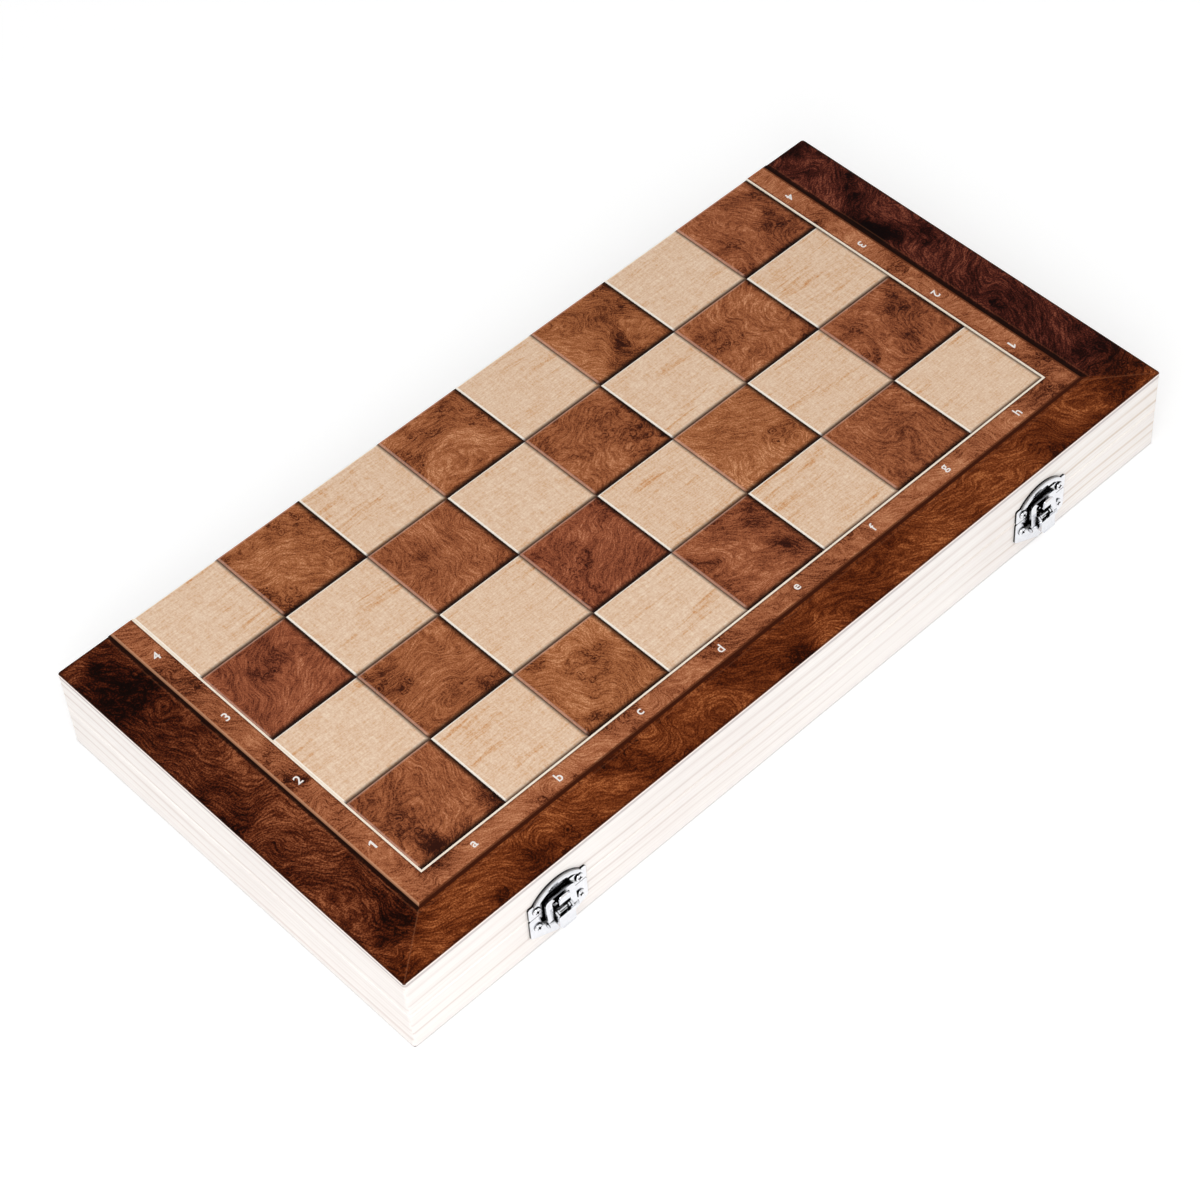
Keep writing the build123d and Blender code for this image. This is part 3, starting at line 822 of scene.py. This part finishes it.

# %% [markdown]
# ## Metals
# The latches are bright plated steel and the hinges a duller plate. Bright plating mirrors what
# stands around it. Where pieces nearly touch it mirrors only other metal, again and again, and
# goes black. An ambient occlusion value finds those narrow places, and painted shade darkens
# the plating's colour there. Fine scratches and a faint cloudiness cover the rest.

# %% Make the metals
OPEN_SKY = 0.76
NARROW_PLACE = 0.56
SKY_SAMPLES = 16
platings = {}
for name, base, rough_low, rough_high, reach, wearers in (
    ("bright_plating", paint(240, 241, 244), 0.06, 0.17, 0.0040,
     [n for n in nodes if "latch" in n or "catch" in n]),
    ("hinge_plating", paint(206, 204, 198), 0.22, 0.38, 0.0020, [n for n in nodes if "hinge" in n]),
):
    material, tree, shader, place = new_material(name, roughness=rough_low, metallic=1.0)
    haze = cloud(tree, place, 700.0, detail=3.0, roughness=0.6)[0]
    scratch_place = calculate_vector(tree, "MULTIPLY", place, (900.0, 900.0, 120.0))
    scratches = cloud(tree, scratch_place, 1.0, detail=3.0, roughness=0.7)[0]
    dull = multiply(tree, haze, scratches)
    plug(tree, shader.inputs["Roughness"], fade(tree, dull, 0.15, 0.42, rough_low, rough_high))
    sky = tree.nodes.new("ShaderNodeAmbientOcclusion")
    sky.samples = SKY_SAMPLES
    sky.inputs["Distance"].default_value = reach
    # Painted shade: the colour goes nearly black where the occlusion value says pieces nearly touch.
    narrow = fade(tree, sky.outputs["AO"], OPEN_SKY, NARROW_PLACE)
    colour = blend_colours(tree, haze, base, paint(216, 217, 222))
    colour = blend_colours(tree, narrow, colour, paint(6, 6, 8))
    plug(tree, shader.inputs["Base Color"], colour)
    wear(material, *wearers)
    platings[name] = material
    print(name, len(wearers), "nodes")

# %% [markdown]
# ## Inner print
# The trays are lined with a thin board in a wood tone.

# %% Make the liner
LINER_STOPS = (0.0, 0.5, 1.0)
LINER_WOOD = paints(LINER_STOPS, (168, 116, 70), (206, 164, 116), (232, 204, 164))
material, tree, shader, place = new_material("liner_print", roughness=0.55, specular=0.25)
here = calculate_vector(tree, "MULTIPLY", place, (1 / SQUARE, 1 / SQUARE, 0.0))
figure = place_group(tree, maple, Place=here)
plug(tree, shader.inputs["Base Color"], ramp(tree, figure["Tone"], LINER_WOOD))
add_bump(tree, shader, figure["Tone"])
wear(material, *both("liner"))
print(material.name)

# %% [markdown]
# ## Screw heads
# The latch screws are small domed steel screws with a cross slot, and the hinge screws are
# countersunk. The CAD model holds them with flat sides, to stay light. Here one of each kind is
# modelled: a disc whose rim is bevelled into a dome. Then two bars cut the slot, and a small
# cylinder cuts the pit in its middle. A boolean makes them with clean walls, where pushing faces in
# by hand would bend the dome.

# %% Helpers for making a screw
HEAD_SIDES = 48
PIT_SIDES = 24
DOME_SHARE = 0.55
PIT_WIDTHS = 1.1
PIT_EXTRA = 0.0001


def only_select(*pieces):
    """Select these pieces and no other, the first one as the active one."""
    bpy.ops.object.select_all(action="DESELECT")
    for piece in pieces:
        piece.select_set(True)
    bpy.context.view_layer.objects.active = pieces[0]


def cut_away(piece, cutter):
    """Take the shape of a cutter out of a piece, and throw the cutter away."""
    only_select(piece)
    cut = piece.modifiers.new("cut", "BOOLEAN")
    cut.object = cutter
    cut.operation = "DIFFERENCE"
    bpy.ops.object.modifier_apply(modifier=cut.name)
    bpy.data.objects.remove(cutter)


def cut_slot(piece, top, length, width, depth):
    """Cut a cross slot with a pit down from the top of a piece that faces up."""
    for size_x, size_y in ((length, width), (width, length)):
        bpy.ops.mesh.primitive_cube_add(size=1.0, location=(0, 0, top), scale=(size_x, size_y, 2 * depth))
        cut_away(piece, bpy.context.object)
    bpy.ops.mesh.primitive_cylinder_add(
        vertices=PIT_SIDES, radius=width * PIT_WIDTHS, depth=2 * (depth + PIT_EXTRA), location=(0, 0, top))
    cut_away(piece, bpy.context.object)


def make_screw(name, seat_radius, crown_radius, height, slot):
    """A screw that faces up, with its seat at the origin. The slot is a length, a width and a depth."""
    bpy.ops.mesh.primitive_cone_add(
        vertices=HEAD_SIDES, radius1=seat_radius, radius2=crown_radius, depth=height,
        location=(0, 0, height / 2))
    screw = bpy.context.object
    screw.name = name
    bpy.ops.object.transform_apply(location=True, rotation=True, scale=True)
    bpy.ops.object.mode_set(mode="EDIT")
    bpy.ops.mesh.select_all(action="DESELECT")
    bpy.ops.object.mode_set(mode="OBJECT")
    for edge in screw.data.edges:
        edge.select = all(screw.data.vertices[i].co.z > height * 0.99 for i in edge.vertices)
    bpy.ops.object.mode_set(mode="EDIT")
    bpy.ops.mesh.select_mode(type="EDGE")
    bpy.ops.mesh.bevel(offset=height * DOME_SHARE, segments=4, affect="EDGES")
    bpy.ops.object.mode_set(mode="OBJECT")
    cut_slot(screw, height, *slot)
    return screw


print("screw helpers ready")

# %% [markdown]
# Each screw is copied to its place with its own mesh, turned by its own angle, because nobody
# lines slots up on such hardware. The screws of one kind on the left and on the right then become
# one object, which stands for the CAD node of the same screws.

# %% Helpers for setting screws
FIRST_TURN = 0.35
TURN_STEP = 0.9
SMOOTH_ANGLE = math.radians(35)


def join_pieces(pieces, name):
    """Make one object of several."""
    only_select(*pieces)
    bpy.ops.object.join()
    joined = bpy.context.object
    joined.name = name
    return joined


def four_places(pair_x, screw_x, y, z):
    """The places of four screws, two in a pair on either side."""
    return [(x + dx, y, z) for x in (-pair_x, pair_x) for dx in (-screw_x, screw_x)]


def copies_at(pattern, name, places, tilt):
    """Copies of one screw, tilted the same way and each turned by its own angle."""
    made = []
    for number, place in enumerate(places):
        copy = bpy.data.objects.new(name, pattern.data.copy())
        bpy.context.scene.collection.objects.link(copy)
        spin = Matrix.Rotation(FIRST_TURN + TURN_STEP * number, 4, "Z")
        copy.data.transform(Matrix.Translation(place) @ Matrix.Rotation(tilt, 4, "X") @ spin)
        made.append(copy)
    joined = join_pieces(made, name)
    bpy.ops.object.shade_smooth_by_angle(angle=SMOOTH_ANGLE)
    return joined


print("setting helpers ready")

# %% [markdown]
# The latch screws sit on the front of their plates and face the viewer. The hinge screws sit in the
# leaves between the halves, so the upper ones face down and the lower ones up.

# %% Set the screws
LATCH_X = 0.110
LATCH_SCREW_X = 0.0088
PLATE_FRONT = -0.0842
CATCH_SCREW_Z = 0.0202
BASE_SCREW_Z = 0.0117
HINGE_X = 0.100
HINGE_SCREW_X = 0.009
HINGE_SCREW_Y = 0.07855
UPPER_SEAT_Z = 0.01845
LOWER_SEAT_Z = 0.01655

dome = make_screw("dome_pattern", 0.0016, 0.00145, 0.0008, slot=(0.0019, 0.00048, 0.00050))
flush = make_screw("flush_pattern", 0.0009, 0.00168, 0.0008, slot=(0.0019, 0.0004, 0.0004))
for name, height, node, body in (
    ("catch_screw_heads", CATCH_SCREW_Z, "catch_plate_screws", "lid"),
    ("base_screw_heads", BASE_SCREW_Z, "latch_base_plate_screws", "lower_case"),
):
    places = four_places(LATCH_X, LATCH_SCREW_X, PLATE_FRONT, height)
    heads = copies_at(dome, name, places, math.pi / 2)
    dress(heads, platings["bright_plating"])
    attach(heads, body)
    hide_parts(node)
    print(name, len(heads.data.polygons), "faces")
for name, height, tilt, node, body in (
    ("upper_hinge_screw_heads", UPPER_SEAT_Z, math.pi, "upper_hinge_screws", "lid"),
    ("lower_hinge_screw_heads", LOWER_SEAT_Z, 0.0, "lower_hinge_screws", "lower_case"),
):
    places = four_places(HINGE_X, HINGE_SCREW_X, HINGE_SCREW_Y, height)
    heads = copies_at(flush, name, places, tilt)
    dress(heads, platings["hinge_plating"])
    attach(heads, body)
    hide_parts(node)
    print(name, len(heads.data.polygons), "faces")
for pattern in (dome, flush):
    bpy.data.objects.remove(pattern)

# %% [markdown]
# ## Letters and digits
# The band carries the files a to h and the ranks, printed in white. Letters could be part of the
# material, but outlines made from a font stay crisp at any distance. Each is added as text, turned
# into a mesh, and only then moved to its square, so that the finished object sits at the origin.
# The font draws its 1 as a bare bar, so that digit is a flat curve with a flag of its own.

# %% Helpers for the signs
INK_HEIGHT = 0.00003
BOLDNESS = 0.014
ONE_OUTLINE = [
    (0.0, 0.0), (0.15, 0.0), (0.15, 0.72), (0.02, 0.72), (-0.17, 0.56), (-0.17, 0.43), (0.0, 0.55),
]


def outline_of_one(height):
    """The digit 1 as a flat curve."""
    curve = bpy.data.curves.new("digit_one", "CURVE")
    curve.dimensions = "2D"
    curve.fill_mode = "BOTH"
    spline = curve.splines.new("POLY")
    spline.points.add(len(ONE_OUTLINE) - 1)
    for point, (x, y) in zip(spline.points, ONE_OUTLINE):
        point.co = (x * height, y * height, 0.0, 1.0)
    spline.use_cyclic_u = True
    sign = bpy.data.objects.new("digit_one", curve)
    bpy.context.scene.collection.objects.link(sign)
    only_select(sign)
    return sign


def outline_of_letter(letter, height):
    """A letter or digit as a flat text, a little bolder than the font has it."""
    bpy.ops.object.text_add(location=(0, 0, 0))
    sign = bpy.context.object
    sign.data.body = letter
    sign.data.size = height
    sign.data.align_x = "CENTER"
    sign.data.offset = height * BOLDNESS
    return sign


def printed_sign(letter, height):
    """A flat mesh of a letter or digit, centred on the origin and facing up."""
    sign = outline_of_one(height) if letter == "1" else outline_of_letter(letter, height)
    sign.data.extrude = INK_HEIGHT
    bpy.ops.object.convert(target="MESH")
    sign = bpy.context.object
    low = [min(v.co[i] for v in sign.data.vertices) for i in range(3)]
    high = [max(v.co[i] for v in sign.data.vertices) for i in range(3)]
    middle = [(a + b) / 2 for a, b in zip(low, high)]
    sign.data.transform(Matrix.Translation([-m for m in middle]))
    return sign


print("sign helpers ready")

# %% [markdown]
# The upper half shows ranks 1 to 4, the lower half ranks 5 to 8. Both sets are laid out facing up
# on the upper face. The lower one is then turned half round, about the line along Y through the
# field's middle at half the box's height, so that it faces down. The digits on the right stand the
# other way up.

# %% Set the letters and digits
SIGN_HEIGHT = 0.0047
BAND_MIDDLE = 0.0044
FIELD_LEFT = FIELD_SHIFT - HALF_FIELD
FIELD_RIGHT = FIELD_SHIFT + HALF_FIELD

ink, tree, shader, place = new_material("white_ink", roughness=0.5, specular=0.3)
unevenness = cloud(tree, place, 900.0, detail=3.0, roughness=0.6)[0]
colour = blend_colours(tree, unevenness, paint(232, 222, 214), paint(255, 250, 246))
plug(tree, shader.inputs["Base Color"], colour)


def coordinate_set(name, ranks, files, flip):
    """All signs of one half. A flip turns a set over, so that it faces down."""
    signs = []
    for number, letter in enumerate(files):
        sign = printed_sign(letter, SIGN_HEIGHT)
        x = FIELD_LEFT + SQUARE * (number + 0.5)
        sign.data.transform(Matrix.Translation((x, FIELD_FRONT - BAND_MIDDLE, TOP)))
        signs.append(sign)
    for number, digit in enumerate(ranks):
        y = FIELD_FRONT + SQUARE * (number + 0.5)
        for x, turn in ((FIELD_LEFT - BAND_MIDDLE, 0.0), (FIELD_RIGHT + BAND_MIDDLE, math.pi)):
            sign = printed_sign(digit, SIGN_HEIGHT)
            sign.data.transform(Matrix.Rotation(turn, 4, "Z"))
            sign.data.transform(Matrix.Translation((x, y, TOP)))
            signs.append(sign)
    whole_set = join_pieces(signs, name)
    if flip:
        for vertex in whole_set.data.vertices:
            vertex.co.z = TOP - vertex.co.z
            vertex.co.x = 2 * FIELD_SHIFT - vertex.co.x
    dress(whole_set, ink)
    return whole_set


upper_signs = coordinate_set("upper_coordinates", "1234", "abcdefgh", False)
lower_signs = coordinate_set("lower_coordinates", "8765", "hgfedcba", True)
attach(upper_signs, "lid")
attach(lower_signs, "lower_case")
print("sign points:", len(upper_signs.data.vertices), "and", len(lower_signs.data.vertices))

# %% [markdown]
# ## The floor
# A broad pale floor carries the board. Where the camera or a mirror looks at it, it is lifted to
# white, so that the background is white and the metal mirrors it. The lift adds no light to dull
# surfaces, and the board's shadow stays. The floor lies a hair below the board, so that the two
# never touch.

# %% Build the floor
FLOOR_LIFT = 0.40
FLOOR_SIZE = 8.0
FLOOR_HEIGHT = -0.0001
bpy.ops.mesh.primitive_plane_add(size=FLOOR_SIZE, location=(0, 0, FLOOR_HEIGHT))
floor = bpy.context.object
floor.name = "studio_floor"
material, tree, shader = new_material("white_floor", roughness=0.9, specular=0.0)[:3]
shader.inputs["Base Color"].default_value = paint(226, 226, 226)
shader.inputs["Emission Color"].default_value = (1.0, 1.0, 1.0, 1.0)
ray = tree.nodes.new("ShaderNodeLightPath").outputs
seen = calculate(tree, "ADD", ray["Is Camera Ray"], ray["Is Glossy Ray"])
seen = calculate(tree, "ADD", seen, ray["Is Transmission Ray"], clamp=True)
plug(tree, shader.inputs["Emission Strength"], multiply(tree, seen, FLOOR_LIFT))
floor.data.materials.append(material)
print("floor lift", FLOOR_LIFT)

# %% [markdown]
# ## The light
# The world is an even white with two dark places. One lies high behind the board, where lacquer
# mirrors it towards the camera, so the dark woods stay deep and clear. The other lies behind the
# camera and draws thin dark edges on the plating. The white rest lights everything evenly, and one
# soft lamp from the front left brightens the near squares a little.

# %% Build the light
BEHIND_BOARD = (0.41, 0.486, 0.772)
BEHIND_CAMERA = (-0.41, -0.486, 0.772)
WHITE = (1.0, 1.0, 1.0, 1.0)
NEARLY_BLACK = (0.01, 0.01, 0.01, 1.0)
LAMP_PLACE = Vector((-0.60, -0.62, 0.75))
LAMP_SIZE = 0.6
LAMP_POWER = 5.1

world = bpy.data.worlds.new("studio_world")
bpy.context.scene.world = world
world.use_nodes = True
tree = world.node_tree
background = tree.nodes["Background"]
direction = tree.nodes.new("ShaderNodeTexCoord").outputs["Generated"]
towards_board = calculate_vector(tree, "DOT_PRODUCT", direction, BEHIND_BOARD)
towards_camera = calculate_vector(tree, "DOT_PRODUCT", direction, BEHIND_CAMERA)
dark_places = calculate(
    tree, "MAXIMUM", fade(tree, towards_board, 0.74, 0.93), fade(tree, towards_camera, 0.90, 0.955)
)
plug(tree, background.inputs["Color"], blend_colours(tree, dark_places, WHITE, NEARLY_BLACK))
background.inputs["Strength"].default_value = 1.0

lamp_data = bpy.data.lights.new("key_lamp", "AREA")
lamp_data.size = LAMP_SIZE
lamp_data.energy = LAMP_POWER
lamp = bpy.data.objects.new("key_lamp", lamp_data)
bpy.context.scene.collection.objects.link(lamp)
aim = (-LAMP_PLACE).to_track_quat("-Z", "Y").to_matrix().to_4x4()
lamp.matrix_world = Matrix.Translation(LAMP_PLACE) @ aim
print("light ready")

# %% [markdown]
# ## The picture
# The view transform stays plain, so that a written colour isn't bent on its way to the picture.

# %% Finish
bpy.context.scene.view_settings.view_transform = "Standard"
